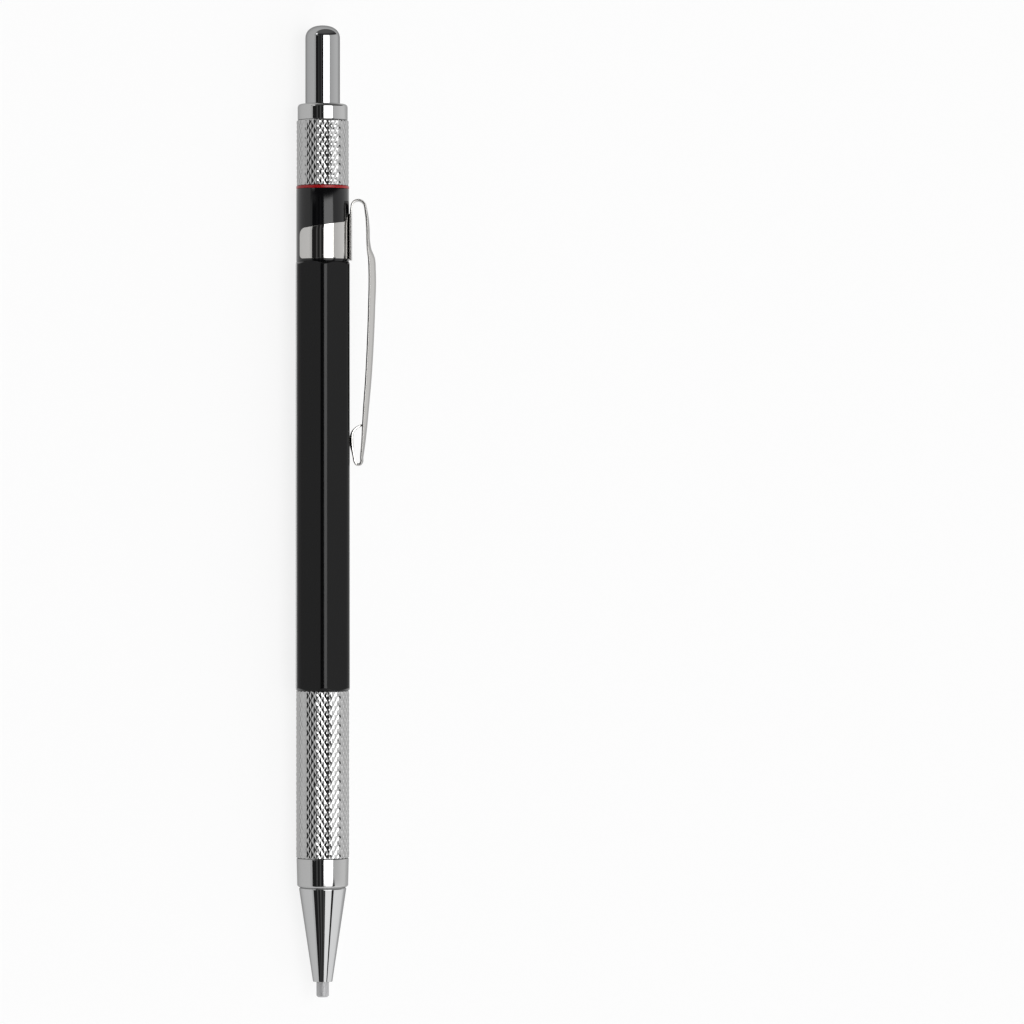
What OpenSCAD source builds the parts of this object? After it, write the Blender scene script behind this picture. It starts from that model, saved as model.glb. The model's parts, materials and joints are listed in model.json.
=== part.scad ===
// Clutch pencil for 2 mm leads, lying on one flat of its hexagonal barrel.
// Every piece is drawn along its own axis, with z = 0 at the tip of the lead,
// +z towards the push button and +x towards the pocket clip, and then laid down.

/* [Lengths along the pencil] */
// Lead that shows past the nose cone
lead_out = 2.46; // [1.5:0.01:3]
// Nose cone, from its mouth to its base
cone_len = 14.84; // [14.5:0.01:15.2]
// Smooth ring in front of the knurled grip, with the joint line before it
ring_len = 4.8; // [4:0.1:6]
// Knurled part of the grip
grip_len = 26.55; // [24:0.05:30]
// Hexagonal part of the barrel
barrel_len = 68.05; // [60:0.05:76]
// Black collar that carries the clip
collar_len = 11.55; // [11.3:0.05:12.5]
// Red ring
red_len = 0.45; // [0.3:0.05:0.8]
// Knurled part of the rear bush
knurl_len = 10.4; // [10:0.1:12]
// Smooth rim of the rear bush
rim_len = 2.6; // [2:0.1:3]
// Push button that stands out of the rear bush
button_len = 12.5; // [10:0.1:14]
// Whole lead, half used
lead_len = 120; // [60:1:130]

/* [Diameters] */
// Lead
lead_d = 2; // [2:0.1:2]
// Nose cone at its mouth
mouth_d = 3.08; // [3:0.01:3.3]
// Nose cone at its base
cone_d = 7.5; // [7.3:0.05:7.8]
// Smooth ring at the nose cone
ring_d = 8.12; // [8:0.01:8.2]
// Knurled grip and clip collar
grip_d = 8.4; // [8.3:0.01:8.41]
// Knurled part of the rear bush
knurl_d = 8.26; // [8.1:0.01:8.4]
// Smooth rim of the rear bush
rim_d = 7.95; // [7.7:0.01:8.05]
// Push button
button_d = 5.5; // [5.4:0.05:5.55]
// Barrel across its flats
barrel_af = 8.42; // [8.42:0.01:8.6]
// Barrel across its turned corners
barrel_ac = 9.4; // [9.2:0.05:9.6]

/* [Clip] */
// How far the clip stands off square to a flat of the barrel, in degrees
clip_offset = 3; // [0:0.5:5]
// Thickness of the clip's steel strip
strip_t = 0.32; // [0.25:0.01:0.4]
// Width of the strip at the band
strip_w = 3.4; // [3:0.1:4]
// How far the band stands proud of the collar
band_proud = 0.1; // [0.05:0.01:0.2]
// How far the band reaches round each side of the clip, in degrees
band_half = 148; // [120:1:150]
// Slope of the band's upper edge, in degrees
band_slope = 9; // [5:0.5:12]

/* [Mechanism] */
// Travel of the push button
push_travel = 3.4; // [2.5:0.1:3.4]
// Return spring's wire
wire_d = 0.4; // [0.3:0.05:0.5]
// Return spring's mean diameter
spring_d = 4.3; // [4.2:0.05:4.5]
// Return spring's coils, with one closed coil at each end
coils = 14; // [10:1:16]
// Gap between two jaws
slit = 0.3; // [0.2:0.05:0.4]
// Running gap around pieces that slide, on the radius
gap = 0.05; // [0.04:0.01:0.06]

/* [Hidden] */
$fn = 96;
eps = 0.01;
slip = 0.02; // radial gap of a fixed joint, such as a closed thread

// Stations along the axis
z_mouth = lead_out;
z_cone = z_mouth + cone_len;
z_ring = z_cone + 0.2;
z_grip = z_cone + ring_len;
z_barrel = z_grip + grip_len;
z_collar = z_barrel + barrel_len;
z_red = z_collar + collar_len;
z_bush = z_red + red_len;
z_rim = z_bush + knurl_len;
z_button = z_rim + rim_len;
length = z_button + button_len;

// Radii
lead_r = lead_d / 2;
mouth_r = mouth_d / 2;
cone_r = cone_d / 2;
grip_r = grip_d / 2;
button_r = button_d / 2;
corner_r = barrel_ac / 2;
band_r = grip_r + band_proud;
band_in_r = band_r - 0.3;
front_thread_r = 3.28;
rear_spigot_r = 3.5;
bush_thread_r = 2.78;
tube_r = 1.7;
tube_bore_r = 1.25;

// Nose cone's cavity and the clutch in it
z_clutch = z_mouth + 9.24;
clutch_len = 3.5;
clutch_r = 2.35;
cavity_r = 1.92;
jaw_nose_r = 1.2;
jaw_head_r = 1.75;
jaw_neck_r = 1.5;
jaw_bore_r = lead_r + 0.01;
z_jaw_tip = z_mouth + 0.14;
z_jaw_root = z_mouth + 17.54;
z_chuck = z_jaw_root + 4;
chuck_r = 2.6;
chuck_bore_r = lead_r + 0.12;
z_stop = z_chuck - push_travel - 0.1;
z_spigot_front = z_ring + 10;
z_wall = z_ring + 11;
z_seat = z_wall + 2.5;
z_spring = z_seat + 0.5;
spring_len = 24;
barrel_bore_r = 2.7;

// Rear end
z_bush_in = z_collar + 2.3;
z_spigot_rear = z_collar + 9.8;
z_bush_bore = z_bush + 0.5;
z_flange = z_bush + 4.3;
flange_len = 1.4;
z_socket_end = z_button - 0.7;
socket_r = button_r - 0.4;
cap_bore_r = socket_r + 0.03;
dome_len = 2.1;
z_cap_floor = length - 3.2;
z_pointer = z_button + 0.8;

// Clip: the arch, its arm and the turned-in end, in the plane through the axis
arch_r = 0.925;
arch_x = 5.635;
z_arch = z_red - 2.9;
root_x = arch_x - arch_r - strip_t;
split = 0.03;
tip_bend_r = 0.35;
tip_bend = [5.6, z_arch - 40.38];
band_low = z_collar + 0.4;
band_high = z_collar + 5.7;

// Arm: distance below the arch, x of the inner face, depth of the crown, width
arm_stations = [
    [0, 6.56, 0, 3.4], [3.3, 6.85, 0.12, 3.4], [5.5, 6.9, 0.35, 3.5],
    [6.8, 7, 0.64, 3.6], [8.1, 7.16, 0.98, 3.6], [10.3, 7.2, 1.02, 3.6],
    [16, 7.12, 0.98, 3.5], [21, 6.96, 0.92, 3.4], [27.5, 6.64, 0.85, 3.3],
    [33.8, 6.22, 0.72, 3.1], [37.5, 6.04, 0.48, 2.9], [39.6, 5.93, 0.2, 2.7],
];
// Turned-in end: distance below the arch, x of its outer face, depth of its dimple
lip_stations = [
    [39, 4.72, 0], [38, 4.6, 0.18], [37.3, 4.56, 0.32], [36.6, 4.58, 0.2],
    [36, 4.7, 0], [35.4, 5.1, 0], [34.9, 5.6, 0],
];
lip_w = 2.6;

// The crown of the clip is what reaches furthest to the side
clip_angle = 150 - clip_offset;
crown = arm_stations[5];
side = -cos(clip_angle);
rise = sin(clip_angle);
clip_reach = side * (crown[1] + crown[2] + strip_t)
    + pow(rise * crown[3] / 2, 2) / (4 * side * crown[2]);
axis_y = (clip_reach - corner_r) / 2;

// Lays the pencil along X on a flat of its barrel, the button towards +X
module lay() {
    translate([-length / 2, axis_y, band_r])
        rotate([90 + clip_angle, 0, 0])
            rotate([0, 90, 0])
                children();
}

// A turned piece, from points [radius, height]
module turned(points) {
    rotate_extrude() polygon(points);
}

// A plain ring or tube
module ring(r_out, r_in, z0, z1) {
    turned([[r_in, z0], [r_out, z0], [r_out, z1], [r_in, z1]]);
}

// Points of a quarter round from radius r_wall up and in to the end face at z1
function round_edge(r_wall, z1, r) = [
    for (a = [0:15:90]) [r_wall - r + r * cos(a), z1 - r + r * sin(a)]
];

module lead() {
    bevel = 0.25;
    color("dimgray") lay() turned([
        [0, 0], [lead_r - bevel, 0], [lead_r, bevel],
        [lead_r, lead_len], [0, lead_len],
    ]);
}

module nose_cone() {
    edge = 0.08;
    land = 0.74;
    mouth_bore_r = 1.38;
    color("silver") lay() turned([
        [mouth_bore_r, z_mouth], [mouth_r - edge, z_mouth], [mouth_r, z_mouth + edge],
        [cone_r, z_cone - 0.1], [cone_r, z_cone], [cone_r - 0.15, z_ring],
        [front_thread_r, z_ring], [front_thread_r, z_spigot_front - 0.2],
        [front_thread_r - 0.2, z_spigot_front], [chuck_r + 0.15, z_spigot_front],
        [chuck_r + 0.15, z_stop], [clutch_r, z_stop], [clutch_r, z_clutch],
        [cavity_r, z_clutch], [cavity_r, z_mouth + 5.14], [mouth_bore_r, z_mouth + land],
    ]);
}

// The seat that squeezes the jaws when the spring draws them back
module clutch_ring() {
    color("goldenrod") lay() turned([
        [clutch_r, z_clutch], [clutch_r, z_clutch + clutch_len],
        [jaw_neck_r + gap, z_clutch + clutch_len], [jaw_neck_r + gap, z_clutch + 2.52],
        [jaw_head_r + 0.01, z_clutch],
    ]);
}

// One of the three jaws of the chuck, cut apart by slits
module jaw(turn) {
    apex = slit / 2 / sin(60);
    color("goldenrod") lay() rotate([0, 0, turn]) intersection() {
        turned([
            [jaw_bore_r, z_jaw_tip], [jaw_nose_r - 0.1, z_jaw_tip],
            [jaw_nose_r, z_jaw_tip + 0.15], [jaw_nose_r, z_mouth + 4.54],
            [jaw_head_r, z_mouth + 8.74], [jaw_head_r, z_clutch - 0.1],
            [jaw_neck_r, z_clutch + 2.9], [jaw_neck_r, z_jaw_root],
            [chuck_bore_r, z_jaw_root], [chuck_bore_r, z_mouth + 6.84],
            [jaw_bore_r, z_mouth + 6.54],
        ]);
        linear_extrude(z_jaw_root)
            polygon([[apex, 0], [apex + 3, 3 * tan(60)], [apex + 3, -3 * tan(60)]]);
    }
}

module jaw_1() { jaw(60); }

module jaw_2() { jaw(180); }

module jaw_3() { jaw(300); }

module chuck_body() {
    sleeve_r = 2.2;
    color("goldenrod") lay() turned([
        [chuck_bore_r, z_jaw_root + 0.02], [jaw_neck_r, z_jaw_root + 0.02],
        [jaw_neck_r, z_chuck], [chuck_r, z_chuck], [chuck_r, z_chuck + 2],
        [sleeve_r, z_chuck + 2], [sleeve_r, z_chuck + 4.3],
        [tube_r + slip, z_chuck + 4.3], [tube_r + slip, z_chuck + 0.2],
        [chuck_bore_r, z_chuck + 0.2],
    ]);
}

module lead_tube() {
    color("silver") lay() ring(tube_r, tube_bore_r, z_chuck + 0.2, z_socket_end);
}

module grip_sleeve() {
    bore_r = front_thread_r + slip;
    ring_r = ring_d / 2;
    color("gainsboro") lay() turned([
        [bore_r, z_ring], [ring_r - 0.12, z_ring], [ring_r, z_ring + 0.12],
        [grip_r - 0.04, z_grip - 0.12], [grip_r - 0.14, z_grip - 0.03],
        [grip_r, z_grip + 0.1],
        [grip_r, z_barrel - 0.15], [grip_r - 0.12, z_barrel], [bore_r, z_barrel],
    ]);
}

module hex_barrel() {
    end_r = grip_r - 0.1;
    bevel = 0.45;
    color("#1c1c1e") lay() difference() {
        union() {
            intersection() {
                rotate([0, 0, clip_offset + 30]) translate([0, 0, z_barrel])
                    cylinder(r = barrel_af / 2 / cos(30), h = barrel_len, $fn = 6);
                turned([
                    [0, z_barrel], [end_r, z_barrel], [corner_r, z_barrel + bevel],
                    [corner_r, z_collar - bevel], [end_r, z_collar], [0, z_collar],
                ]);
            }
            translate([0, 0, z_wall])
                cylinder(r = front_thread_r, h = z_barrel - z_wall + eps);
            translate([0, 0, z_collar - eps])
                cylinder(r = rear_spigot_r, h = z_spigot_rear - z_collar + eps);
        }
        translate([0, 0, z_wall - 1]) cylinder(r = tube_r + 2 * gap, h = length);
        translate([0, 0, z_seat]) cylinder(r = barrel_bore_r, h = length);
        translate([0, 0, z_bush_in - 1]) cylinder(r = bush_thread_r + slip, h = length);
    }
}

module spring_seat() {
    color("silver") lay() ring(barrel_bore_r - 0.05, tube_r + 2 * gap, z_seat, z_spring);
}

// Height of the wire's centre after some turns: closed, open, closed
function wire_z(turns) =
    let (open = coils - 2, pitch = (spring_len - 3 * wire_d) / open)
    z_spring + wire_d / 2 + wire_d * min(turns, 1)
        + pitch * max(0, min(turns - 1, open)) + wire_d * max(0, turns - 1 - open);

// The helix is a wire of eight sides, with sixteen rings in each coil
module return_spring() {
    sides = 8;
    per_coil = 16;
    last = coils * per_coil;
    wire = [
        for (i = [0:last], k = [0:sides - 1])
            let (
                turn = 360 * i / per_coil,
                a = 360 * k / sides,
                r = spring_d / 2 + wire_d / 2 * cos(a)
            )
            [r * cos(turn), r * sin(turn), wire_z(i / per_coil) + wire_d / 2 * sin(a)]
    ];
    walls = [
        for (i = [0:last - 1], k = [0:sides - 1])
            let (n = (k + 1) % sides)
            [i * sides + k, (i + 1) * sides + k, (i + 1) * sides + n, i * sides + n]
    ];
    start = [for (k = [0:sides - 1]) k];
    finish = [for (k = [sides - 1:-1:0]) last * sides + k];
    color("lightgray") lay()
        polyhedron(points = wire, faces = concat(walls, [start, finish]), convexity = 20);
}

module spring_collar() {
    color("silver") lay()
        ring(2.5, tube_r + slip, z_spring + spring_len, z_spring + spring_len + 1.5);
}

// The part of the collar's height that the band takes, cut by its sloping edge
module below_slope(lift) {
    translate([0, 0, band_high + lift]) rotate([0, -band_slope, 0])
        translate([-10, -10, -20]) cube([20, 20, 20]);
}

// A wedge that leaves the band open behind the clip
module band_gap(half) {
    reach = 10;
    linear_extrude(length)
        polygon([
            [0, 0], [reach * cos(half), reach * sin(half)],
            [-reach, 0], [reach * cos(half), -reach * sin(half)],
        ]);
}

module clip_collar() {
    bore_r = rear_spigot_r + slip;
    pocket = 0.03;
    color("#1c1c1e") lay() difference() {
        turned([
            [bore_r, z_collar], [grip_r - 0.15, z_collar], [grip_r, z_collar + 0.15],
            [grip_r, z_red - 0.1], [grip_r - 0.1, z_red],
            [bush_thread_r + slip, z_red], [bush_thread_r + slip, z_spigot_rear + 0.1],
            [bore_r, z_spigot_rear + 0.1],
        ]);
        difference() {
            intersection() {
                ring(grip_r + 1, band_in_r - pocket, band_low - pocket, z_arch);
                below_slope(pocket);
            }
            band_gap(band_half + 0.5);
        }
    }
}

module clip_band() {
    color("silver") lay() {
        difference() {
            union() {
                intersection() {
                    ring(band_r, band_in_r, band_low, z_arch);
                    below_slope(0);
                }
                intersection() {
                    translate([band_in_r - 0.3, -strip_w / 2, band_low])
                        cube([root_x + strip_t - band_in_r + 0.3, strip_w, z_arch - band_low]);
                    translate([0, 0, band_low]) cube([20, 20, 12], center = true);
                }
                translate([root_x, -strip_w / 2, band_low + 4])
                    cube([strip_t, strip_w, z_arch - band_low - 4]);
            }
            band_gap(band_half);
            translate([0, 0, -eps]) cylinder(r = band_in_r, h = band_high + 0.6);
            translate([0, 0, band_high - 0.2]) cylinder(r = grip_r + gap, h = 20);
        }
    }
}

// Points across the strip: its outer face, then back along its inner face.
// at is the inner face, out points away from it, crown bulges the middle of it.
function across(at, out, crown, width, steps = 6) = [
    for (side = [1, 0], k = [0:steps])
        let (
            u = side * (2 * k / steps - 1) + (1 - side) * (1 - 2 * k / steps),
            off = side * strip_t + crown * (1 - u * u)
        )
        [at[0] + out[0] * off, u * width / 2, at[1] + out[1] * off]
];

module clip_arm() {
    arch = [
        for (a = [180:-20:0])
            across([arch_x + arch_r * cos(a), z_arch + split + arch_r * sin(a)],
                [cos(a), sin(a)], 0, strip_w)
    ];
    arm = [for (s = arm_stations) across([s[1], z_arch - s[0]], [1, 0], s[2], s[3])];
    bend = [
        for (a = [-15:-30:-165])
            across(tip_bend + tip_bend_r * [cos(a), sin(a)], [cos(a), sin(a)], 0, lip_w)
    ];
    lip = [
        for (s = lip_stations)
            across([s[1] + strip_t, z_arch - s[0]], [-1, 0], s[2], lip_w)
    ];
    rings = concat(arch, arm, bend, lip);
    count = len(rings[0]);
    walls = [
        for (i = [0:len(rings) - 2], k = [0:count - 1])
            let (here = i * count, next = here + count, n = (k + 1) % count)
            each [[here + k, here + n, next + n], [here + k, next + n, next + k]]
    ];
    last = (len(rings) - 1) * count;
    start = [for (k = [0:count / 2 - 2]) [count - 1 - k, count - 2 - k, k + 1, k]];
    finish = [for (f = start) [for (k = [3:-1:0]) last + f[k]]];
    color("silver") lay() polyhedron(
        points = [for (r = rings) each r],
        faces = concat(walls, start, finish),
        convexity = 10
    );
}

module red_ring() {
    color("firebrick") lay() ring(grip_r, bush_thread_r + slip, z_red, z_bush);
}

module rear_bush() {
    rim_r = rim_d / 2;
    knurl_r = knurl_d / 2;
    button_bore_r = button_r + gap;
    edge = 0.55;
    color("silver") lay() turned(concat(
        [
            [tube_r + gap, z_bush_in], [bush_thread_r, z_bush_in], [bush_thread_r, z_bush],
            [knurl_r - 0.12, z_bush], [knurl_r, z_bush + 0.15],
            [knurl_r, z_rim - 0.15], [rim_r, z_rim],
        ],
        round_edge(rim_r, z_button, edge),
        [
            [button_bore_r, z_button], [button_bore_r, z_bush_bore],
            [tube_r + gap, z_bush_bore],
        ]
    ));
}

// The plug that the button is pushed onto
module button_socket() {
    color("goldenrod") lay() turned([
        [tube_r + slip, z_flange], [button_r - 0.03, z_flange],
        [button_r - 0.03, z_flange + flange_len], [socket_r, z_flange + flange_len],
        [socket_r, z_socket_end - 0.3], [socket_r - 0.3, z_socket_end],
        [tube_r + slip, z_socket_end],
    ]);
}

// Radius of the button's flattened dome at a height above its foot
function dome_r(h) = button_r * pow(1 - pow(h / dome_len, 2.3), 1 / 2.3);

module button_cap() {
    steps = 10;
    foot = length - dome_len;
    color("silver") lay() turned(concat(
        [[cap_bore_r, z_flange + flange_len], [button_r, z_flange + flange_len]],
        [for (k = [0:steps - 1]) let (h = dome_len * sin(90 * k / steps)) [dome_r(h), foot + h]],
        [[0, length], [0, z_cap_floor], [cap_bore_r, z_cap_floor]]
    ));
}

// Where the pointer's blade lies, tilted to cut along the conical hole
module on_blade(size) {
    translate([0.95, 0, z_pointer]) rotate([0, -8.5, 0])
        translate([0, -size[1] / 2, 0]) cube(size);
}

// The lead pointer that the button holds, with a conical hole for the lead
module pointer_body() {
    body_r = cap_bore_r - slip;
    color("dimgray") lay() difference() {
        turned([
            [1.1, z_pointer], [body_r, z_pointer], [body_r, z_cap_floor],
            [0, z_cap_floor], [0, z_pointer + 6.2], [0.2, z_pointer + 6],
        ]);
        translate([0, 0, -eps]) on_blade([3, 3.2, 6.4]);
    }
}

module pointer_blade() {
    color("gainsboro") lay() on_blade([0.3, 3, 6]);
}

lead();
nose_cone();
clutch_ring();
jaw_1();
jaw_2();
jaw_3();
chuck_body();
lead_tube();
grip_sleeve();
hex_barrel();
spring_seat();
return_spring();
spring_collar();
clip_collar();
clip_band();
clip_arm();
red_ring();
rear_bush();
button_socket();
button_cap();
pointer_body();
pointer_blade();
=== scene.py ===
"""Looks of the clutch pencil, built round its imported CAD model.

Shapes are drawn in millimetres along the pencil's own axis, as [along, out, side]: along starts at the
lead's tip, out points towards the clip and side is square to both. Lengths come from the CAD nodes' boxes.
"""

import json
import math

import bmesh
import bpy
import numpy as np
from mathutils import Matrix, Vector


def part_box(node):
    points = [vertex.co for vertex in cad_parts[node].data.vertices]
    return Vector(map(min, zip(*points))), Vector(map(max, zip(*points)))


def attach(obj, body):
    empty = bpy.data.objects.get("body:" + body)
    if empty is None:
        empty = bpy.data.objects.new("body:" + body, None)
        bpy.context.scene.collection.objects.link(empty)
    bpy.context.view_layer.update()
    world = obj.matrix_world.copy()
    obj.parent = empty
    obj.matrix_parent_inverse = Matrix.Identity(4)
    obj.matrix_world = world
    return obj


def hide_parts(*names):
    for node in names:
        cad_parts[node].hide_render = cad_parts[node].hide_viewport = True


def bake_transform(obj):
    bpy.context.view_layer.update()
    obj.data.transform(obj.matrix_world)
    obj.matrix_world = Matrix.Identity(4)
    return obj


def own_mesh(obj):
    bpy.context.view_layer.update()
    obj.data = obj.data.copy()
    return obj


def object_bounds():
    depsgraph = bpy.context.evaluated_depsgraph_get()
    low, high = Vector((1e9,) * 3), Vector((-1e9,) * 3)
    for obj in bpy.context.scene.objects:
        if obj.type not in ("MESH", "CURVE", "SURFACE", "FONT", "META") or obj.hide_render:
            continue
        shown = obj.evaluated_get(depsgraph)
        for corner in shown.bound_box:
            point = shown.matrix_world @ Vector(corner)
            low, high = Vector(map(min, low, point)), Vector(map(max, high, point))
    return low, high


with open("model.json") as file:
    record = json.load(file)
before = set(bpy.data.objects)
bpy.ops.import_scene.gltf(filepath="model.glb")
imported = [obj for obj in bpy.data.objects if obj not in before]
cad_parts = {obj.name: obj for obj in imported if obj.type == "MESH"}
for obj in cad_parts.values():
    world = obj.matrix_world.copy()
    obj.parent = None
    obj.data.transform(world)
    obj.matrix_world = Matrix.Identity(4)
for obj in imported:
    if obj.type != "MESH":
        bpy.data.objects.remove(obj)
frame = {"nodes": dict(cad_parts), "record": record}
cad_low, cad_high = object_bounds()

MM = 0.001

# The clip stands off the floor's plane by this angle, from +Y towards +Z
CLIP_ANGLE = math.radians(147)
# The photograph looks square to the clip; its camera leans a little, to set the pencil off centre
VIEW_ANGLE = CLIP_ANGLE - math.radians(90)

lead_low, lead_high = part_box("lead")
LEAD_R = (lead_high.y - lead_low.y) / 2 / MM
AXIS = Vector((lead_low.x, (lead_low.y + lead_high.y) / 2, (lead_low.z + lead_high.z) / 2))
OUT = Vector((0, math.cos(CLIP_ANGLE), math.sin(CLIP_ANGLE)))
SIDE = Vector((1, 0, 0)).cross(OUT)


def ends(node):
    """Where a CAD node starts and ends along the axis, in millimetres."""
    low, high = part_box(node)
    return (low.x - AXIS.x) / MM, (high.x - AXIS.x) / MM


def radius(node):
    """A turned CAD node's largest radius, in millimetres."""
    low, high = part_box(node)
    return (high.y - low.y) / 2 / MM


LEAD_END = ends("lead")[1]
NOSE_START = ends("nose_cone")[0]
GRIP_START, BARREL_START = ends("grip_sleeve")
COLLAR_START, RED_START = ends("clip_collar")
BUSH_START = ends("red_ring")[1]
BUSH_END = ends("rear_bush")[1]
CAP_START, CAP_END = ends("button_cap")
GRIP_R = radius("grip_sleeve")
CAP_WALL = 0.37
SOCKET_R = radius("button_cap") - CAP_WALL


# ---------------------------------------------------------------- shapes


def in_frame(points):
    """Points [along, out, side] in millimetres, as metres in the row frame."""
    p = np.asarray(points, float) * MM
    base = np.array(AXIS)
    return base + p[:, :1] * (1, 0, 0) + p[:, 1:2] * np.array(OUT) + p[:, 2:3] * np.array(SIDE)


def solid(name, points, faces, crease=32):
    """A closed mesh with its faces outward, smooth except at edges sharper than crease degrees."""
    mesh = bpy.data.meshes.new(name)
    mesh.from_pydata(in_frame(points).tolist(), [], [list(map(int, f)) for f in faces])
    tidy = bmesh.new()
    tidy.from_mesh(mesh)
    bmesh.ops.remove_doubles(tidy, verts=tidy.verts, dist=1e-7)
    bmesh.ops.recalc_face_normals(tidy, faces=tidy.faces)
    tidy.to_mesh(mesh)
    tidy.free()
    mesh.shade_smooth()
    mesh.set_sharp_from_angle(angle=math.radians(crease))
    piece = bpy.data.objects.new(name, mesh)
    bpy.context.scene.collection.objects.link(piece)
    return piece


def finish_modifiers(piece, crease=32):
    """Makes the piece's modifiers part of its mesh."""
    graph = bpy.context.evaluated_depsgraph_get()
    made = bpy.data.meshes.new_from_object(piece.evaluated_get(graph))
    piece.modifiers.clear()
    piece.data = made
    made.shade_smooth()
    made.set_sharp_from_angle(angle=math.radians(crease))


def rounded(corners, steps=5):
    """An outline whose corners [along, across, rounding] are turned into arcs."""
    outline = []
    for i, (along, across, size) in enumerate(corners):
        here = np.array([along, across], float)
        if not size:
            outline.append(here)
            continue
        before = np.array(corners[i - 1][:2], float) - here
        after = np.array(corners[(i + 1) % len(corners)][:2], float) - here
        start = here + before / np.linalg.norm(before) * size
        end = here + after / np.linalg.norm(after) * size
        for t in np.linspace(0, 1, steps + 1):
            outline.append(start * (1 - t) ** 2 + here * 2 * t * (1 - t) + end * t**2)
    return np.array(outline)


def ring_of(along, reach, angles):
    """One ring of points round the axis; along and reach may differ from angle to angle."""
    return np.stack([along + 0 * angles, reach * np.cos(angles), reach * np.sin(angles)], 1)


def circle(sides):
    return np.linspace(0, 2 * np.pi, sides, endpoint=False)


def loft(name, rings, crease=32, closed=True, exact=None):
    """Skins rings of equally many points. exact gives the point in the middle of each cell, if the
    cells are split along the diagonal that lies closer to it."""
    rings = np.asarray(rings)
    count, sides = rings.shape[:2]
    last = count if closed else count - 1
    i, j = np.meshgrid(np.arange(last), np.arange(sides), indexing="ij")
    i, j = i.ravel(), j.ravel()
    following, beside = (i + 1) % count, (j + 1) % sides
    a, b = i * sides + j, i * sides + beside
    c, d = following * sides + beside, following * sides + j
    points = rings.reshape(-1, 3)
    if exact is None:
        faces = np.stack([a, b, c, d], 1)
    else:
        middle = exact.reshape(-1, 3)
        off_ac = np.linalg.norm((points[a] + points[c]) / 2 - middle, axis=1)
        off_bd = np.linalg.norm((points[b] + points[d]) / 2 - middle, axis=1)
        ac = (off_ac <= off_bd)[:, None]
        first = np.where(ac, np.stack([a, b, c], 1), np.stack([a, b, d], 1))
        second = np.where(ac, np.stack([a, c, d], 1), np.stack([b, c, d], 1))
        faces = np.concatenate([first, second])
    return solid(name, points, faces, crease)


def turned(name, outline, sides=160, crease=32):
    """A turned solid from a closed outline [along, radius]. Points on the axis merge into one."""
    angles = circle(sides)
    return loft(name, [ring_of(along, reach, angles) for along, reach in outline], crease)


def curve_through(stations, steps):
    """A smooth curve through rows of numbers. The first two are its place, which sets the spacing."""
    rows = np.asarray(stations, float)
    gaps = np.linalg.norm(np.diff(rows[:, :2], axis=0), axis=1)
    at = np.concatenate([[0], np.cumsum(gaps)])
    slope = np.gradient(rows, at, axis=0)
    made = []
    for i, gap in enumerate(gaps):
        for t in np.linspace(0, 1, max(2, int(gap * steps)), endpoint=False):
            made.append(
                rows[i] * (1 + 2 * t) * (1 - t) ** 2
                + slope[i] * gap * t * (1 - t) ** 2
                + rows[i + 1] * t * t * (3 - 2 * t)
                - slope[i + 1] * gap * t * t * (1 - t)
            )
    made.append(rows[-1])
    return np.array(made)


# ---------------------------------------------------------------- knurl

KNURL_STARTS = 31
KNURL_STEPS = 12  # cells in one period, each way
KNURL_DEPTH = 0.098
KNURL_FLAT = 5 / 12  # distance from a groove to the flat top, in periods
KNURL_FLOOR = 0.97  # share of the depth at which a groove's narrow floor lies
KNURL_WEAR = 0.07  # how much the depth wanders
KNURL_CHAMFER = 0.14
GRIP_PERIOD, BUSH_PERIOD = 1.478, 1.44  # along the axis


def knurl_depth(turns, rows, strength):
    """How deep the crossed grooves are at a place given in periods round and along."""
    cut = 0
    for lean in (1, -1):
        from_groove = np.abs(turns + lean * rows - np.round(turns + lean * rows))
        cut = np.maximum(cut, 1 - from_groove / KNURL_FLAT)
    return KNURL_DEPTH * strength * np.minimum(cut, KNURL_FLOOR)


def knurled(start, end, crest, period):
    """Rings of a knurled stretch with chamfered ends, and the middles of its cells."""
    cells = round((end - start) / period * KNURL_STEPS)
    sides = KNURL_STARTS * KNURL_STEPS

    def surface(row, turn):
        rows, turns = np.meshgrid(row / KNURL_STEPS, turn / KNURL_STEPS, indexing="ij")
        wear = 1 + KNURL_WEAR * np.sin(turns * 1.7 + rows * 2.3) * np.sin(turns * 0.6 - rows * 1.1)
        along = start + (end - start) * rows * KNURL_STEPS / cells
        from_end = np.minimum(along - start, end - along)
        chamfer = np.maximum(0, KNURL_CHAMFER - from_end)
        reach = crest - np.maximum(knurl_depth(turns, rows, wear), chamfer)
        angles = turns / KNURL_STARTS * 2 * np.pi
        return np.stack([along, reach * np.cos(angles), reach * np.sin(angles)], 2)

    rings = surface(np.arange(cells + 1.0), np.arange(float(sides)))
    middles = surface(np.arange(cells) + 0.5, np.arange(sides) + 0.5)
    return rings, middles


def with_knurl(name, before, start, end, crest, period, after):
    """A turned solid of which one stretch is knurled. before and after are the rest of its outline."""
    rings, middles = knurled(start, end, crest, period)
    angles = circle(rings.shape[1])
    lead_in = np.array([ring_of(x, r, angles) for x, r in before])
    lead_out = np.array([ring_of(x, r, angles) for x, r in after])
    every = np.concatenate([lead_in, rings, lead_out])
    exact = (every + np.roll(every, -1, axis=0)) / 2
    exact = (exact + np.roll(exact, -1, axis=1)) / 2
    exact[len(lead_in) : len(lead_in) + len(middles)] = middles
    return loft(name, every, crease=24, exact=exact)


# ---------------------------------------------------------------- turned pieces


def make_lead():
    bevel = 0.25
    outline = rounded(
        [
            (0, 0, 0),
            (0, LEAD_R - bevel, 0.06),
            (bevel, LEAD_R, 0.06),
            (LEAD_END, LEAD_R, 0),
            (LEAD_END, 0, 0),
        ]
    )
    return turned("lead_stick", outline, sides=72)


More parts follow.
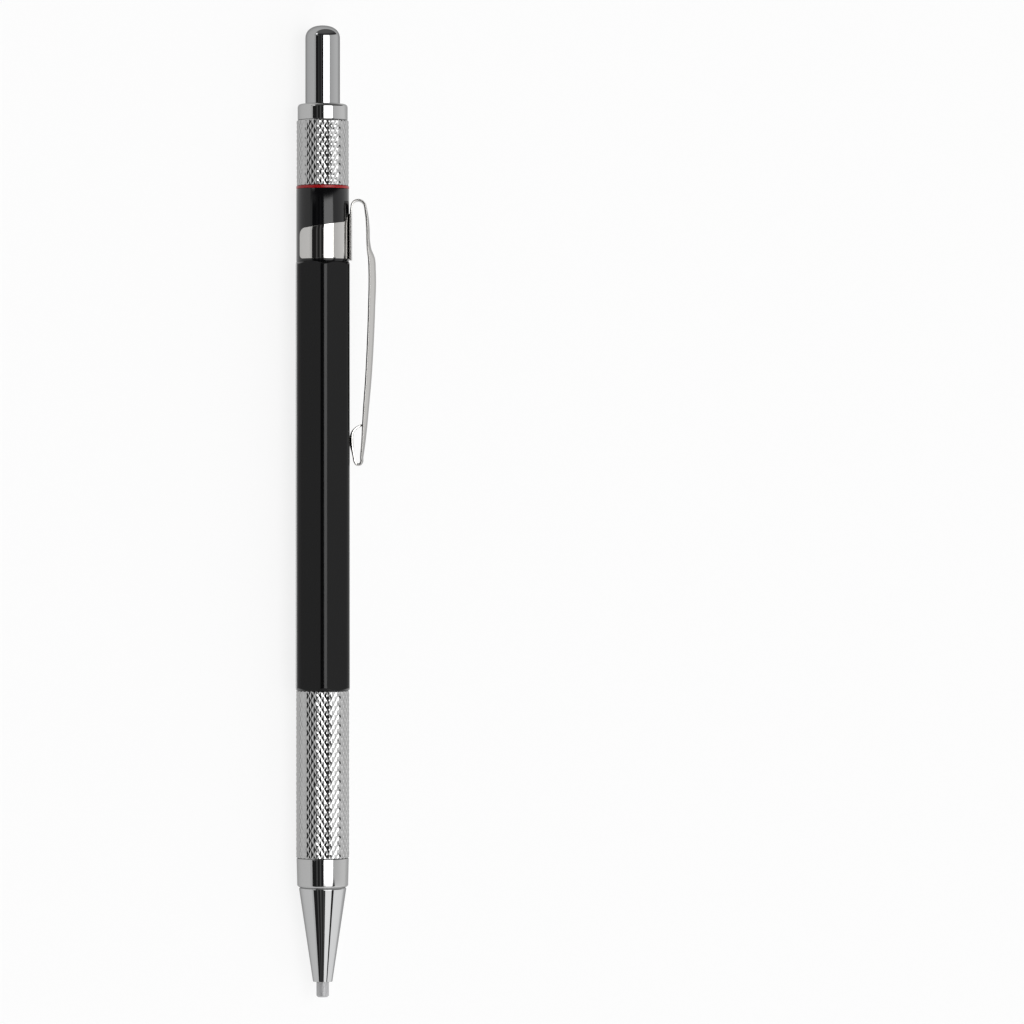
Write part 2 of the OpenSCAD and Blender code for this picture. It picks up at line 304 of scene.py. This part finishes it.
def make_nose():
    cone_end = GRIP_START - 0.2
    mouth_r, base_r, bore_r, thread_r = 1.54, 3.75, 1.38, 3.28
    chuck_r, cavity_r = 2.75, 1.92
    spigot_end, stop = GRIP_START + 10, GRIP_START + 3
    seat_start, seat_r = ends("clutch_ring")[0], radius("clutch_ring")
    outline = rounded(
        [
            (NOSE_START, bore_r, 0.05),
            (NOSE_START, mouth_r, 0.07),
            (cone_end - 0.1, base_r, 0.05),
            (cone_end, base_r - 0.05, 0),
            (GRIP_START, base_r - 0.2, 0),
            (GRIP_START, thread_r, 0),
            (spigot_end - 0.2, thread_r, 0),
            (spigot_end, thread_r - 0.2, 0),
            (spigot_end, chuck_r, 0),
            (stop, chuck_r, 0),
            (stop, seat_r, 0),
            (seat_start, seat_r, 0),
            (seat_start, cavity_r, 0),
            (NOSE_START + 5.14, cavity_r, 0),
            (NOSE_START + 0.74, bore_r, 0),
        ]
    )
    return turned("nose_shell", outline, sides=192)


def make_grip():
    knurl_start = GRIP_START + 4.6
    ring_r, bore_r = 4.16, 3.3
    before = rounded(
        [
            (GRIP_START, bore_r, 0),
            (GRIP_START, ring_r - 0.36, 0.04),
            (GRIP_START + 0.24, ring_r - 0.11, 0.08),
            (knurl_start - 0.1, ring_r, 0.06),
            (knurl_start - 0.02, ring_r - 0.16, 0),
        ]
    )
    after = [(BARREL_START, bore_r)]
    return with_knurl("knurled_grip", before, knurl_start, BARREL_START, GRIP_R, GRIP_PERIOD, after)


def make_red_ring():
    inner_r = 2.8
    outline = rounded(
        [
            (RED_START, inner_r, 0),
            (RED_START, GRIP_R, 0.1),
            (BUSH_START, GRIP_R, 0.1),
            (BUSH_START, inner_r, 0),
        ]
    )
    return turned("red_band", outline, sides=192)


def make_bush():
    knurl_r, rim_r, thread_r, tube_r, bore_r = 4.13, 3.975, 2.78, 1.75, 2.8
    rim_start, socket_floor = BUSH_END - 2.6, BUSH_START + 0.5
    thread_start = ends("rear_bush")[0]
    before = [
        (thread_start, tube_r),
        (thread_start, thread_r - 0.15),
        (thread_start + 0.15, thread_r),
        (BUSH_START, thread_r),
    ]
    after = rounded(
        [
            (rim_start + 0.02, rim_r - 0.12, 0),
            (rim_start + 0.12, rim_r, 0.06),
            (BUSH_END, rim_r, 0.62),
            (BUSH_END, bore_r + 0.1, 0.1),
            (BUSH_END - 0.3, bore_r, 0),
            (socket_floor, bore_r, 0),
            (socket_floor, tube_r, 0),
        ],
        steps=8,
    )
    return with_knurl("knurled_bush", before, BUSH_START, rim_start, knurl_r, BUSH_PERIOD, after)


def make_button():
    """The dome is a superellipse of this power, a little fuller than round."""
    button_r, dome, power, roof = radius("button_cap"), 2.1, 2.3, 3.2
    steps = 20
    foot = CAP_END - dome
    outline = [(CAP_START, SOCKET_R), (CAP_START, button_r - 0.08), (CAP_START + 0.08, button_r)]
    for k in range(steps + 1):
        rise = math.sin(math.pi / 2 * k / steps)
        outline.append((foot + dome * rise, button_r * (1 - rise**power) ** (1 / power)))
    outline += [(CAP_END - roof, 0), (CAP_END - roof, SOCKET_R)]
    return turned("push_cap", outline, sides=160)


# ---------------------------------------------------------------- barrel and collar

FLAT_R = 4.21
CORNER_ROUND = 1.3
# The flats lie 30 degrees on from the corners, and the clip is 3 degrees off a flat
FIRST_CORNER = math.radians(33)


def hexagon(angles):
    """Radius of the hexagon with rounded corners, at each angle round the axis."""
    from_corner = (angles - FIRST_CORNER + np.pi / 6) % (np.pi / 3) - np.pi / 6
    centre = (FLAT_R - CORNER_ROUND) / math.cos(math.pi / 6)
    flat = FLAT_R / np.cos(np.pi / 6 - np.abs(from_corner))
    inside = np.maximum(0, CORNER_ROUND**2 - (centre * np.sin(from_corner)) ** 2)
    corner = centre * np.cos(from_corner) + np.sqrt(inside)
    touch = math.atan2(CORNER_ROUND / 2, centre + CORNER_ROUND * math.cos(math.pi / 6))
    return np.where(np.abs(from_corner) < touch, corner, flat)


def make_barrel():
    sides = 432
    angles = circle(sides)
    section = hexagon(angles)
    bevel, end_r, bevel_steps = 0.5, GRIP_R - 0.1, 14
    start_in, end_in = ends("hex_barrel")
    thread_r, spigot_r, spring_r, tube_r, bush_r = 3.28, 3.5, 2.7, 1.8, 2.8
    wall_end, bush_end = start_in + 2.5, COLLAR_START + 2.3

    def bevelled(along, from_end):
        cone = end_r + 0.05 + from_end / bevel * (section.max() - end_r)
        edge = min(0.06, from_end * 0.5 + 0.02)
        blend = np.clip(0.5 + (cone - section) / edge / 2, 0, 1)
        return ring_of(along, cone * (1 - blend) + section * blend - edge * blend * (1 - blend), angles)

    ramp = [bevel * 1.3 * (k / bevel_steps) ** 1.3 for k in range(bevel_steps + 1)]
    rings = [
        ring_of(start_in, tube_r, angles),
        ring_of(start_in, thread_r, angles),
        ring_of(BARREL_START, thread_r, angles),
        ring_of(BARREL_START, end_r, angles),
    ]
    rings += [bevelled(BARREL_START + d, d) for d in ramp]
    middle = np.linspace(BARREL_START + bevel * 1.3, COLLAR_START - bevel * 1.3, 24)[1:-1]
    rings += [ring_of(x, section, angles) for x in middle]
    rings += [bevelled(COLLAR_START - d, d) for d in reversed(ramp)]
    rings += [
        ring_of(COLLAR_START, end_r, angles),
        ring_of(COLLAR_START, spigot_r, angles),
        ring_of(end_in, spigot_r, angles),
        ring_of(end_in, bush_r, angles),
        ring_of(bush_end, bush_r, angles),
        ring_of(bush_end, spring_r, angles),
        ring_of(wall_end, spring_r, angles),
        ring_of(wall_end, tube_r, angles),
    ]
    return loft("barrel_shell", rings, crease=28)


# The clip's band: a steel sheet round the collar, with its upper edge cut on a slope
BAND_T = 0.3
BAND_R = 4.15
BAND_LOW = COLLAR_START + 0.4
BAND_HIGH = COLLAR_START + 5.7
BAND_SLOPE = math.radians(9)
BAND_HALF = math.radians(148)
UNDER_STRIP = math.radians(29)  # half of the stretch behind the strip
BAND_CORNERS = 0.7, 1.15  # rounding of the lower and the upper corner at the band's end
# The clip's strip: its root lies on the band, STRIP_X out, and its arch bends over below the red ring
STRIP_X = 4.38
STRIP_W = 3.3
STRIP_T = 0.3
ARCH_BASE = RED_START - 2.9


def band_edges(angle, room=0.0):
    """Lower and upper edge of the band at an angle from the clip, with room left round it."""
    angle = np.abs(angle)
    low = BAND_LOW - room + 0 * angle
    high = BAND_HIGH + room + BAND_R * np.cos(angle) * math.tan(BAND_SLOPE)
    end = BAND_HALF + room / BAND_R
    for edge, size, way in ((low, BAND_CORNERS[0], 1), (high, BAND_CORNERS[1], -1)):
        past = np.clip((angle - end) * BAND_R / size + 1, 0, 1)
        edge += way * size * (1 - np.sqrt(1 - past**2))
    return low, high


def band_angles(room=0.0):
    """Angles round the band from the clip to its end, closer together at the rounded corners."""
    end = BAND_HALF + room / BAND_R
    corner = BAND_CORNERS[1] / BAND_R
    plain = np.linspace(UNDER_STRIP, end - corner, 40)
    turn = end - corner + corner * np.sin(np.linspace(0, np.pi / 2, 14)[1:])
    return np.concatenate([plain, turn])


def make_collar():
    room, pocket_r, bore_r = 0.05, BAND_R - BAND_T / 2 - 0.03, 3.52
    outer = GRIP_R
    wall = BAND_HALF + room / BAND_R
    under_strip = np.linspace(0, UNDER_STRIP, 10)[:-1]
    half = np.concatenate([under_strip, band_angles(room)])
    behind = np.linspace(wall, 2 * np.pi - wall, 22)
    angles = np.concatenate([half, behind, 2 * np.pi - half[:0:-1]])
    sunk = np.concatenate([half * 0 + 1, behind * 0, half[:0:-1] * 0 + 1]) > 0
    away = np.minimum(angles, 2 * np.pi - angles)
    low, high = band_edges(np.minimum(away, wall), room)
    floor = np.where(sunk, pocket_r, outer)
    start, end, edge = COLLAR_START, RED_START, 0.12
    bush_in = start + 9.9
    rings = [
        ring_of(start, bore_r, angles),
        ring_of(start, outer - edge, angles),
        ring_of(start + edge * 0.3, outer - edge * 0.3, angles),
        ring_of(start + edge, outer, angles),
        ring_of(low - 0.03, outer, angles),
        ring_of(low, np.where(sunk, outer - 0.02, outer), angles),
        ring_of(low + 0.01, floor, angles),
    ]
    rings += [ring_of(low + (high - low) * k / 6, floor, angles) for k in range(1, 6)]
    rings += [
        ring_of(high - 0.01, floor, angles),
        ring_of(high, np.where(sunk, outer - 0.02, outer), angles),
        ring_of(high + 0.03, outer, angles),
        ring_of(end - edge, outer, angles),
        ring_of(end - edge * 0.3, outer - edge * 0.3, angles),
        ring_of(end, outer - edge, angles),
        ring_of(end, 2.8, angles),
        ring_of(bush_in, 2.8, angles),
        ring_of(bush_in, bore_r, angles),
    ]
    return loft("collar_shell", rings, crease=30)


# ---------------------------------------------------------------- clip


def sheet(name, points, faces, thickness):
    """A steel sheet round a surface, with softened edges. Its cut edges have the second material."""
    piece = solid(name, points, faces)
    piece.data.materials.append(SLOTS["clip_steel"])
    piece.data.materials.append(CUT_EDGE)
    thick = piece.modifiers.new("thickness", "SOLIDIFY")
    thick.thickness = thickness * MM
    thick.offset = 0
    thick.use_even_offset = True
    thick.material_offset_rim = 1
    edge = piece.modifiers.new("edges", "BEVEL")
    edge.width = 0.06 * MM
    edge.segments = 3
    edge.limit_method = "ANGLE"
    edge.angle_limit = math.radians(50)
    finish_modifiers(piece, crease=45)
    return piece


def make_band():
    under_strip = np.linspace(0, UNDER_STRIP, 12)[:-1]
    half = np.concatenate([under_strip, band_angles()])
    angles = np.concatenate([-half[:0:-1], half])
    low, high = band_edges(angles)
    # A fillet carries the upper edge to a tongue behind the strip
    fillet_start, fillet, tongue_end = 2.9, 1.25, BAND_HIGH + 1.9
    reached = np.abs(angles) * BAND_R
    share = np.clip((fillet_start - reached) / fillet, 0, 1)
    high = high + (tongue_end - high) * (1 - np.sqrt(1 - share**2))
    rows = 8
    points = []
    for k in range(rows + 1):
        points.extend(ring_of(low + (high - low) * k / rows, BAND_R + 0 * angles, angles))
    count = len(angles)
    faces = []
    for k in range(rows):
        for j in range(count - 1):
            a = k * count + j
            faces.append((a, a + 1, a + 1 + count, a + count))
    return sheet("band_sheet", points, faces, BAND_T)


def strip_path():
    """Stations of the strip from its root to its turned-in end: [out, along, crown, width]."""
    half_t = STRIP_T / 2
    arch_x, arch_r = 5.635, 0.925 + half_t
    arch_s = ARCH_BASE + 0.03
    tip_x, tip_r = 5.62, 0.42
    tip_s = arch_s - 40.42
    # The root's edges bend towards the band by this much, and the arch takes on the arm's crown
    hug, arch_crown = 0.15, 0.15
    rows = np.linspace(BAND_LOW - 0.2, BAND_HIGH + 1.2, 7)
    root = [(STRIP_X, along, -hug, STRIP_W) for along in rows]
    turns = np.radians(np.arange(180, -1, -15))
    crowns = np.linspace(-0.2, 1, len(turns)).clip(0, 1) * arch_crown
    arch = [
        (arch_x + arch_r * math.cos(a), arch_s + arch_r * math.sin(a), crown, STRIP_W)
        for a, crown in zip(turns, crowns)
    ]
    # Distance below the arch, inner face, crown, width
    arm = [
        (1.6, 6.76, 0.24, 3.3), (3.3, 6.86, 0.3, 3.4), (5.5, 6.9, 0.34, 3.5), (6.8, 6.97, 0.5, 3.6),
        (8.1, 7.12, 0.85, 3.6), (10.3, 7.2, 0.94, 3.6), (16, 7.12, 0.92, 3.5), (21, 6.96, 0.88, 3.4),
        (27.5, 6.64, 0.8, 3.3), (32.3, 6.31, 0.7, 3.1), (34.8, 6.18, 0.6, 3), (37.1, 6.08, 0.45, 2.9),
        (38.6, 5.97, 0.36, 2.8), (39.7, 5.89, 0.28, 2.7),
    ]  # fmt: skip
    tip_w = 2.6
    turns = np.radians(np.arange(-12, -163, -25))
    crowns = [0.22, 0.18, 0.14, 0.12, 0.12, 0.13, 0.14]
    tip = [
        (tip_x + tip_r * math.cos(a), tip_s + tip_r * math.sin(a), crown, tip_w)
        for a, crown in zip(turns, crowns)
    ]
    # Distance below the arch, outer face, crown, width
    lip = [
        (39.4, 4.84, 0.16, 2.6), (38.6, 4.69, 0.2, 2.6), (37.8, 4.6, 0.31, 2.6), (37, 4.56, 0.32, 2.6),
        (36.3, 4.58, 0.27, 2.6), (35.75, 4.69, 0.18, 2.6), (35.3, 4.98, 0.14, 2.5), (34.95, 5.42, 0.1, 2.3),
        (34.75, 5.78, 0.06, 2.1), (34.6, 6.16, 0.02, 1.8),
    ]  # fmt: skip
    arm, lip = ([(x + half_t, arch_s - d, crown, w) for d, x, crown, w in part] for part in (arm, lip))
    return curve_through(root + arch + arm + tip + lip, 5)


def make_strip():
    path = strip_path()
    across = np.linspace(-1, 1, 17)
    heading = np.gradient(path[:, :2], axis=0)
    heading /= np.linalg.norm(heading, axis=1)[:, None]
    points = []
    for (out, along, crown, width), (run_out, run_along) in zip(path, heading):
        bulge = crown * (1 - across**2)
        places = [along + run_out * bulge, out - run_along * bulge, across * width / 2]
        points.extend(np.column_stack(places))
    count = len(across)
    faces = []
    for k in range(len(path) - 1):
        for j in range(count - 1):
            a = k * count + j
            faces.append((a, a + 1, a + 1 + count, a + count))
    return sheet("clip_strip", points, faces, STRIP_T)


def make_spring():
    wire_r, coil_r, coils, length = 0.2, 2.15, 14, 24
    start = ends("spring_seat")[1]
    wire = 2 * wire_r
    pitch = (length - 3 * wire) / (coils - 2)
    sides, per_coil = 12, 36
    turns = np.arange(coils * per_coil + 1) / per_coil
    lift = wire_r + wire * np.minimum(turns, 1) + pitch * np.clip(turns - 1, 0, coils - 2)
    lift += wire * np.maximum(0, turns - coils + 1)
    round_wire = circle(sides)
    rings = []
    for turn, rise in zip(turns, lift):
        reach = coil_r + wire_r * np.cos(round_wire)
        angle = 2 * np.pi * turn
        along = start + rise + wire_r * np.sin(round_wire)
        rings.append(np.stack([along, reach * math.cos(angle), reach * math.sin(angle)], 1))
    spring = loft("coil_spring", rings, closed=False)
    ends_closed = bmesh.new()
    ends_closed.from_mesh(spring.data)
    bmesh.ops.holes_fill(ends_closed, edges=ends_closed.edges, sides=sides)
    ends_closed.to_mesh(spring.data)
    ends_closed.free()
    return spring


# ---------------------------------------------------------------- materials

NOISE_DETAIL = 3.0
NOISE_LOW, NOISE_HIGH = 0.3, 0.7  # nearly all of the noise lies between these


def surface(name, colour, metallic, specular=0.5, tint=1.0):
    made = bpy.data.materials.new(name)
    made.use_nodes = True
    shader = made.node_tree.nodes["Principled BSDF"]
    shader.inputs["Base Color"].default_value = (*colour, 1)
    shader.inputs["Metallic"].default_value = metallic
    shader.inputs["Specular IOR Level"].default_value = specular
    shader.inputs["Specular Tint"].default_value = (tint, tint, tint, 1)
    return made


def noise_on(made, feature, stretch=(1, 1, 1)):
    """Noise whose features are about so many millimetres across; stretch is along X, Y and Z."""
    nodes, links = made.node_tree.nodes, made.node_tree.links
    place = nodes.new("ShaderNodeTexCoord")
    scaled = nodes.new("ShaderNodeMapping")
    scaled.inputs["Scale"].default_value = [1 / (feature * MM * s) for s in stretch]
    noise = nodes.new("ShaderNodeTexNoise")
    noise.inputs["Scale"].default_value = 1
    noise.inputs["Detail"].default_value = NOISE_DETAIL
    links.new(place.outputs["Object"], scaled.inputs["Vector"])
    links.new(scaled.outputs["Vector"], noise.inputs["Vector"])
    return noise.outputs["Fac"]


def uneven_gloss(made, low, high, feature, stretch=(1, 1, 1)):
    """Roughness that wanders between two values."""
    spread = made.node_tree.nodes.new("ShaderNodeMapRange")
    spread.inputs["From Min"].default_value = NOISE_LOW
    spread.inputs["From Max"].default_value = NOISE_HIGH
    spread.inputs["To Min"].default_value = low
    spread.inputs["To Max"].default_value = high
    links = made.node_tree.links
    links.new(noise_on(made, feature, stretch), spread.inputs["Value"])
    shader = made.node_tree.nodes["Principled BSDF"]
    links.new(spread.outputs["Result"], shader.inputs["Roughness"])


def uneven_colour(made, dark, light, feature):
    """A colour that wanders between two."""
    blend = made.node_tree.nodes.new("ShaderNodeMix")
    blend.data_type = "RGBA"
    blend.inputs["A"].default_value = (*dark, 1)
    blend.inputs["B"].default_value = (*light, 1)
    links = made.node_tree.links
    links.new(noise_on(made, feature), blend.inputs["Factor"])
    shader = made.node_tree.nodes["Principled BSDF"]
    links.new(blend.outputs["Result"], shader.inputs["Base Color"])


def grain(made, feature, depth, stretch=(1, 1, 1)):
    """Relief as deep as so many millimetres."""
    bump = made.node_tree.nodes.new("ShaderNodeBump")
    bump.inputs["Strength"].default_value = 1
    bump.inputs["Distance"].default_value = depth * MM
    links = made.node_tree.links
    links.new(noise_on(made, feature, stretch), bump.inputs["Height"])
    shader = made.node_tree.nodes["Principled BSDF"]
    links.new(bump.outputs["Normal"], shader.inputs["Normal"])


def chrome(name, tone):
    made = surface(name, (tone, tone * 1.005, tone * 1.01), 1, tint=0.45)
    uneven_gloss(made, 0.03, 0.06, 2.5)
    grain(made, 1.5, 0.0005)
    return made


def knurled_chrome():
    made = surface("chrome over the knurl", (0.42, 0.42, 0.418), 1, tint=0.6)
    uneven_gloss(made, 0.04, 0.08, 0.8)
    grain(made, 0.12, 0.0012)
    return made


def clip_steel():
    made = surface("nickel on spring steel", (0.47, 0.462, 0.45), 1, tint=0.6)
    uneven_gloss(made, 0.04, 0.08, 1.2, (4, 1, 1))
    grain(made, 0.8, 0.0004, (6, 1, 1))
    return made


def black_barrel():
    made = surface("satin black barrel", (0.002, 0.002, 0.0022), 0, specular=0.22)
    uneven_gloss(made, 0.15, 0.2, 3, (3, 1, 1))
    grain(made, 0.25, 0.0012)
    return made


def black_collar():
    made = surface("black collar", (0.0025, 0.0025, 0.003), 0, specular=0.36)
    uneven_gloss(made, 0.07, 0.12, 2)
    grain(made, 0.3, 0.0006)
    return made


def red_plastic():
    made = surface("red ring", (0.28, 0.006, 0.008), 0, specular=0.3)
    uneven_gloss(made, 0.26, 0.36, 0.6)
    grain(made, 0.2, 0.001)
    return made


def brass():
    made = surface("turned brass", (0.72, 0.52, 0.22), 1)
    uneven_gloss(made, 0.2, 0.34, 0.5, (0.2, 4, 4))
    grain(made, 0.3, 0.003, (0.15, 20, 20))
    return made


def steel():
    made = surface("drawn steel", (0.52, 0.52, 0.53), 1)
    uneven_gloss(made, 0.22, 0.34, 0.6, (8, 1, 1))
    grain(made, 0.2, 0.0015, (12, 1, 1))
    return made


def spring_steel():
    made = surface("spring wire", (0.46, 0.46, 0.48), 1)
    uneven_gloss(made, 0.2, 0.3, 0.4)
    grain(made, 0.1, 0.001)
    return made


def graphite():
    made = surface("graphite lead", (0.38, 0.38, 0.385), 0.3)
    uneven_colour(made, (0.34, 0.34, 0.345), (0.44, 0.44, 0.447), 0.25)
    uneven_gloss(made, 0.4, 0.55, 0.3)
    grain(made, 0.1, 0.004)
    return made


def dark_plastic():
    made = surface("moulded plastic", (0.03, 0.03, 0.03), 0)
    uneven_gloss(made, 0.25, 0.4, 0.8)
    grain(made, 0.2, 0.002)
    return made


def cut_edge():
    made = surface("cut edges of the clip", (0.5, 0.49, 0.475), 1)
    uneven_gloss(made, 0.2, 0.28, 0.5)
    grain(made, 0.1, 0.001)
    return made


CUT_EDGE = cut_edge()
SLOTS = {
    "chrome": chrome("polished chrome", 0.46),
    "knurled_chrome": knurled_chrome(),
    "clip_steel": clip_steel(),
    "black_barrel": black_barrel(),
    "black_collar": black_collar(),
    "red_plastic": red_plastic(),
    "brass": brass(),
    "steel": steel(),
    "spring_steel": spring_steel(),
    "lead": graphite(),
    "dark_plastic": dark_plastic(),
}


# ---------------------------------------------------------------- camera, floor and light

CAMERA_LEAN = math.radians(1.9)
CAMERA_DISTANCE = 0.9
VIEW_WIDTH = 0.16254
VIEW_SHIFT = 0.03005
VIEW_BACK = 0.00012
FLOOR_HALF = 4
FLOOR_TONE = 0.12
FLOOR_GLOW = 0.845
LAMP_WATTS = 1.5


def make_camera():
    lean = VIEW_ANGLE - CAMERA_LEAN
    away = Vector((0, math.cos(lean), math.sin(lean)))
    up = Vector((1, 0, 0))
    right = up.cross(away)
    target = Vector((-VIEW_BACK, AXIS.y, AXIS.z)) + right * VIEW_SHIFT
    data = bpy.data.cameras.new("camera")
    data.angle = 2 * math.atan(VIEW_WIDTH / 2 / CAMERA_DISTANCE)
    data.clip_start = 0.01
    camera = bpy.data.objects.new("camera", data)
    bpy.context.scene.collection.objects.link(camera)
    turn = np.column_stack([right, up, away])
    place = np.eye(4)
    place[:3, :3] = turn
    place[:3, 3] = target + away * CAMERA_DISTANCE
    camera.matrix_world = Matrix(place.tolist())
    bpy.context.scene.camera = camera


def make_floor():
    mesh = bpy.data.meshes.new("floor")
    corners = [(FLOOR_HALF * x, FLOOR_HALF * y, 0) for x, y in ((-1, -1), (1, -1), (1, 1), (-1, 1))]
    mesh.from_pydata(corners, [], [(0, 1, 2, 3)])
    floor = bpy.data.objects.new("floor", mesh)
    floor.location.z = cad_low.z - 0.02 * MM
    bpy.context.scene.collection.objects.link(floor)
    table = surface("light table", (FLOOR_TONE,) * 3, 0, specular=0.1)
    uneven_gloss(table, 0.75, 0.85, 5)
    shader = table.node_tree.nodes["Principled BSDF"]
    shader.inputs["Emission Color"].default_value = (1, 1, 1, 1)
    shader.inputs["Emission Strength"].default_value = FLOOR_GLOW
    mesh.materials.append(table)


def make_lamp():
    """Fills the floor evenly, and stays out of reflections, where the studio's cards are seen."""
    data = bpy.data.lights.new("overhead", "AREA")
    data.shape = "DISK"
    data.size = 1.6
    data.energy = LAMP_WATTS
    lamp = bpy.data.objects.new("overhead", data)
    lamp.location = (0, 0, 1.3)
    lamp.visible_glossy = False
    lamp.visible_camera = False
    bpy.context.scene.collection.objects.link(lamp)


# The studio's cards: degrees of turn round the pencil from the view, the softness of those edges, the
# stretch along X from -1 to 1, the softness of those edges, and the card's level
BACK_CARD = (-110, -30), 8, (0.3, 1.1), 0.06, 0.36
WINDOWS = ((-52, -38), 3, (0.42, 0.62), 0.03, 2.4), ((-92, -74), 3, (0.28, 0.46), 0.03, 2.4)
GAP = (45.5, 57.5), 0.8, (-0.8, -0.15), 0.03, 0.03
LOW_CARD = (0, 13.5), 0.8, (-0.8, -0.2), 0.05, 0.08
# These four have levels that change across them
BLACK_CARD = (-47, 4.5), 1, (-0.85, 0.9), 0.05
STREAKS = (-27, -23), (-12, -7)
HOOD = (-48, 118), 6, (0.36, 1.1), 0.03
SOFTBOX = (5.5, 46), 0.8, (-0.8, 0.33), 0.03
TIP_END = -0.12, -0.22
BACKDROP = 0.99


def make_world():
    """A studio: pale walls, a black card and a bright softbox above the pencil, along its whole length."""
    world = bpy.data.worlds.new("studio")
    world.use_nodes = True
    bpy.context.scene.world = world
    nodes, links = world.node_tree.nodes, world.node_tree.links
    nodes.clear()

    def put(socket, value):
        if hasattr(value, "is_output"):
            links.new(value, socket)
        else:
            socket.default_value = value

    def maths(operation, *values):
        node = nodes.new("ShaderNodeMath")
        node.operation = operation
        for socket, value in zip(node.inputs, values):
            put(socket, value)
        return node.outputs[0]

    def ramp(value, start, end, low=0.0, high=1.0):
        node = nodes.new("ShaderNodeMapRange")
        node.interpolation_type = "SMOOTHSTEP"
        for name, number in zip(("From Min", "From Max", "To Min", "To Max"), (start, end, low, high)):
            node.inputs[name].default_value = number
        put(node.inputs["Value"], value)
        return node.outputs["Result"]

    def between(value, start, end, soft):
        rise = ramp(value, start - soft, start + soft)
        fall = ramp(value, end - soft, end + soft, 1, 0)
        return maths("MULTIPLY", rise, fall)

    def mixed(share, first, second):
        node = nodes.new("ShaderNodeMix")
        put(node.inputs["Factor"], share)
        put(node.inputs["A"], first)
        put(node.inputs["B"], second)
        return node.outputs["Result"]

    place = nodes.new("ShaderNodeTexCoord")
    parts = nodes.new("ShaderNodeSeparateXYZ")
    links.new(place.outputs["Generated"], parts.inputs[0])
    along = parts.outputs["X"]
    turn = maths("ARCTAN2", parts.outputs["Z"], parts.outputs["Y"])
    turn = maths("DEGREES", maths("SUBTRACT", turn, VIEW_ANGLE))

    def with_card(light, turns, turn_soft, stretch, stretch_soft, level):
        share = maths("MULTIPLY", between(turn, *turns, turn_soft), between(along, *stretch, stretch_soft))
        return mixed(share, light, level)

    wall = ramp(turn, 44, 110, 0.88, 1.15)
    wall = mixed(ramp(along, *TIP_END), wall, 1.35)
    wall = mixed(ramp(turn, 0, -50), wall, 0.85)
    streaks = maths("ADD", *(between(turn, start, end, 3) for start, end in STREAKS))
    streaks = maths("MULTIPLY_ADD", streaks, 0.13, 0.025)
    light = with_card(wall, *BLACK_CARD, streaks)
    light = with_card(light, *BACK_CARD)
    light = with_card(light, *HOOD, ramp(along, 0.4, 0.75, 0.04, 0.2))
    for window in WINDOWS:
        light = with_card(light, *window)
    light = with_card(light, *SOFTBOX, mixed(ramp(along, *TIP_END), 4.4, 1.5))
    light = with_card(light, *GAP)
    light = with_card(light, *LOW_CARD)

    seen = nodes.new("ShaderNodeLightPath")
    light = mixed(seen.outputs["Is Camera Ray"], light, BACKDROP)
    shade = nodes.new("ShaderNodeBackground")
    output = nodes.new("ShaderNodeOutputWorld")
    links.new(light, shade.inputs["Color"])
    links.new(shade.outputs[0], output.inputs[0])


# ---------------------------------------------------------------- assembly


def place_piece(piece, slot, body, *nodes):
    if not piece.data.materials:
        piece.data.materials.append(SLOTS[slot])
    if body:
        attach(piece, body)
    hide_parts(*nodes)
    return piece


make_camera()
make_floor()
make_lamp()
make_world()
bpy.context.scene.view_settings.view_transform = "Standard"

place_piece(make_lead(), "lead", "lead", "lead")
place_piece(make_nose(), "chrome", "holder", "nose_cone")
place_piece(make_grip(), "knurled_chrome", "holder", "grip_sleeve")
place_piece(make_barrel(), "black_barrel", "holder", "hex_barrel")
place_piece(make_collar(), "black_collar", "holder", "clip_collar")
place_piece(make_red_ring(), "red_plastic", "holder", "red_ring")
place_piece(make_bush(), "knurled_chrome", "holder", "rear_bush")
button = place_piece(make_button(), "chrome", "cap", "button_cap")
button.data.materials[0] = chrome("chrome of the button", 0.36)

# The clip's band goes with the holder. Its strip, which curves over from its root to its arm, is attached
# to no body, and its place is made part of its mesh
place_piece(make_band(), "clip_steel", "holder", "clip_band")
clip = place_piece(make_strip(), "clip_steel", None, "clip_arm")
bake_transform(clip)

spring = place_piece(make_spring(), "spring_steel", "holder", "return_spring")
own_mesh(spring)

slots = {part["node"]: part["material_slot"] for part in frame["record"]["subparts"]}
for node, piece in frame["nodes"].items():
    if not piece.hide_render:
        piece.data.materials.clear()
        piece.data.materials.append(SLOTS[slots[node]])
